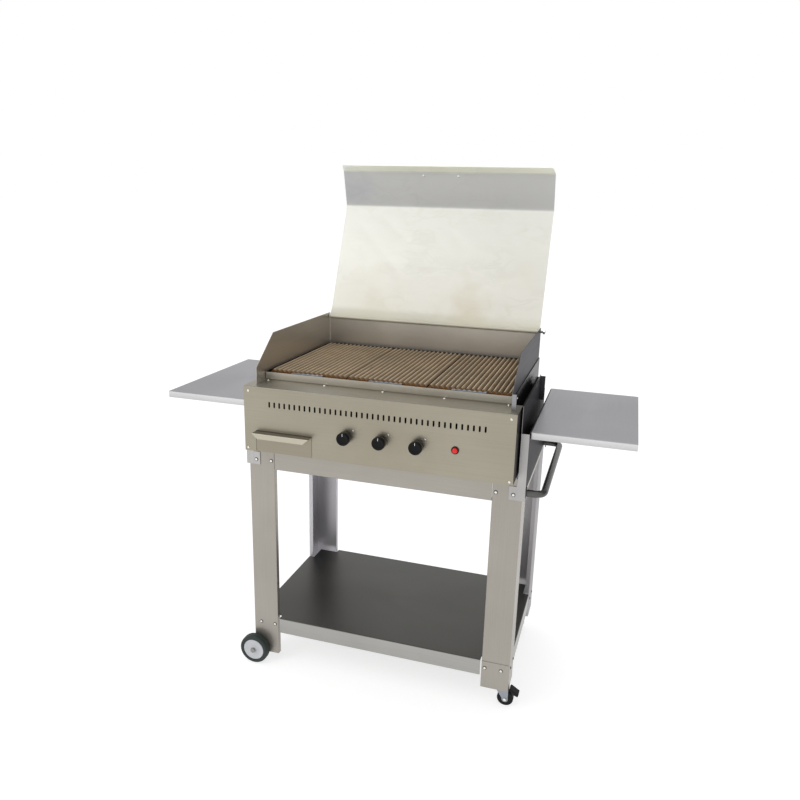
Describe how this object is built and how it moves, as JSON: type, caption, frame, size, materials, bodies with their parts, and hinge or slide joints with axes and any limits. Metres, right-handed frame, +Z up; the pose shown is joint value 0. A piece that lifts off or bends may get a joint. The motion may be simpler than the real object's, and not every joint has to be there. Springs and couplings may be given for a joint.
{
  "type": "gas charbroiler grill",
  "caption": "Stainless gas charbroiler on a wheeled cart, with a hinged lid held open, ribbed grates, knobs, grease drawer, two side tables and a lower shelf.",
  "frame": {"origin": "middle of the bottom of the bounding box, on the floor", "axes": "+X to the cook's right, +Y from the control panel to the back, +Z up"},
  "size_m": [1.416, 0.7978, 1.5973],
  "materials": {
    "box_steel": "brushed along the width, warm reflections",
    "guard_steel": "brushed",
    "lid_steel": "bright annealed, lightly creased",
    "cart_steel": "brushed along the length",
    "shelf_steel": "brushed",
    "table_steel": "brushed",
    "bar_steel": "polished",
    "zinc_plated": "bright zinc plate",
    "cast_iron": "brown heat-tinted surface",
    "burner_iron": "dark",
    "brass": "machined",
    "knob_plastic": "black, shiny, with a short white pointer line",
    "black_plastic": "black",
    "caster_tread": "black",
    "red_plastic": "red, shiny",
    "tyre": "dark grey rubber",
    "hub_plastic": "light grey moulding"
  },
  "bodies": {
    "cart": {"front_panel": "box_steel", "casing_wrap": "box_steel", "base_plate": "cart_steel", "fire_box": "guard_steel", "drip_pan": "guard_steel", "burner_left": "burner_iron", "burner_middle": "burner_iron", "burner_right": "burner_iron", "heat_shield_left": "guard_steel", "heat_shield_middle": "guard_steel", "heat_shield_right": "guard_steel", "gas_manifold": "brass", "valve_left": "brass", "valve_middle": "brass", "valve_right": "brass", "igniter_body": "black_plastic", "guard_left": "guard_steel", "guard_right": "guard_steel", "guard_back": "guard_steel", "hinge_rod": "bar_steel", "leg_front_left": "cart_steel", "leg_back_left": "cart_steel", "leg_front_right": "cart_steel", "leg_back_right": "cart_steel", "beam_front": "cart_steel", "beam_back": "cart_steel", "beam_left": "cart_steel", "beam_right": "cart_steel", "lower_shelf": "shelf_steel", "bracket_left": "cart_steel", "bracket_right": "cart_steel", "side_table_left": "table_steel", "side_table_right": "table_steel", "push_handle": "bar_steel", "axle_front": "bar_steel", "axle_back": "bar_steel"},
    "lid": {"lid": "lid_steel", "lid_handle": "black_plastic"},
    "drawer": {"grease_drawer": "box_steel", "drawer_front": "box_steel"},
    "button": {"ignition_button": "red_plastic"},
    "spindle_left": {"spindle_left": "bar_steel"},
    "spindle_middle": {"spindle_middle": "bar_steel"},
    "spindle_right": {"spindle_right": "bar_steel"},
    "knob_left": {"knob_left": "knob_plastic"},
    "knob_middle": {"knob_middle": "knob_plastic"},
    "knob_right": {"knob_right": "knob_plastic"},
    "grate_left": {"grate_left": "cast_iron"},
    "grate_middle": {"grate_middle": "cast_iron"},
    "grate_right": {"grate_right": "cast_iron"},
    "wheel_front": {"tyre_front": "tyre", "hub_front": "hub_plastic"},
    "wheel_back": {"tyre_back": "tyre", "hub_back": "hub_plastic"},
    "caster_front": {"caster_fork_front": "zinc_plated"},
    "caster_back": {"caster_fork_back": "zinc_plated"},
    "caster_roller_front": {"caster_wheel_front": "caster_tread"},
    "caster_roller_back": {"caster_wheel_back": "caster_tread"},
    "brake_front": {"brake_pedal_front": "black_plastic"},
    "brake_back": {"brake_pedal_back": "black_plastic"}
  },
  "joints": [
    {"name": "lid_hinge", "type": "hinge", "parent": "cart", "child": "lid", "pos_m": [0, 0.22009, 1.073], "axis": [1, 0, 0], "range_deg": [0, 112]},
    {"name": "drawer_slide", "type": "slide", "parent": "cart", "child": "drawer", "axis": [0, -1, 0], "range_m": [0, 0.3]},
    {"name": "button_push", "type": "slide", "parent": "cart", "child": "button", "axis": [0, 1, 0], "range_m": [0, 0.0045], "stiffness_N_per_m": 500},
    {"name": "knob_push_left", "type": "slide", "parent": "cart", "child": "spindle_left", "axis": [0, 1, 0], "range_m": [0, 0.003], "stiffness_N_per_m": 1200},
    {"name": "knob_turn_left", "type": "hinge", "parent": "spindle_left", "child": "knob_left", "pos_m": [-0.079, -0.36791, 0.834], "axis": [0, -1, 0], "range_deg": [0, 240]},
    {"name": "knob_push_middle", "type": "slide", "parent": "cart", "child": "spindle_middle", "axis": [0, 1, 0], "range_m": [0, 0.003], "stiffness_N_per_m": 1200},
    {"name": "knob_turn_middle", "type": "hinge", "parent": "spindle_middle", "child": "knob_middle", "pos_m": [0.026, -0.36791, 0.834], "axis": [0, -1, 0], "range_deg": [0, 240]},
    {"name": "knob_push_right", "type": "slide", "parent": "cart", "child": "spindle_right", "axis": [0, 1, 0], "range_m": [0, 0.003], "stiffness_N_per_m": 1200},
    {"name": "knob_turn_right", "type": "hinge", "parent": "spindle_right", "child": "knob_right", "pos_m": [0.132, -0.36791, 0.834], "axis": [0, -1, 0], "range_deg": [0, 240]},
    {"name": "grate_lift_left", "type": "slide", "parent": "cart", "child": "grate_left", "axis": [0, 0, 1], "range_m": [0, 0.045]},
    {"name": "grate_lift_middle", "type": "slide", "parent": "cart", "child": "grate_middle", "axis": [0, 0, 1], "range_m": [0, 0.045]},
    {"name": "grate_lift_right", "type": "slide", "parent": "cart", "child": "grate_right", "axis": [0, 0, 1], "range_m": [0, 0.045]},
    {"name": "wheel_spin_front", "type": "hinge", "parent": "cart", "child": "wheel_front", "pos_m": [-0.412, -0.32641, 0.0485], "axis": [0, 1, 0], "continuous": true},
    {"name": "wheel_spin_back", "type": "hinge", "parent": "cart", "child": "wheel_back", "pos_m": [-0.412, 0.22659, 0.0485], "axis": [0, 1, 0], "continuous": true},
    {"name": "caster_swivel_front", "type": "hinge", "parent": "cart", "child": "caster_front", "pos_m": [0.394, -0.26791, 0.066], "axis": [0, 0, 1], "continuous": true},
    {"name": "caster_swivel_back", "type": "hinge", "parent": "cart", "child": "caster_back", "pos_m": [0.394, 0.16809, 0.066], "axis": [0, 0, 1], "continuous": true},
    {"name": "caster_spin_front", "type": "hinge", "parent": "caster_front", "child": "caster_roller_front", "pos_m": [0.409, -0.26791, 0.025], "axis": [0, 1, 0], "continuous": true},
    {"name": "caster_spin_back", "type": "hinge", "parent": "caster_back", "child": "caster_roller_back", "pos_m": [0.379, 0.16809, 0.025], "axis": [0, 1, 0], "continuous": true},
    {"name": "brake_press_front", "type": "hinge", "parent": "caster_front", "child": "brake_front", "pos_m": [0.422, -0.26791, 0.061], "axis": [0, 1, 0], "range_deg": [0, 12]},
    {"name": "brake_press_back", "type": "hinge", "parent": "caster_back", "child": "brake_back", "pos_m": [0.366, 0.16809, 0.061], "axis": [0, -1, 0], "range_deg": [0, 12]}
  ]
}
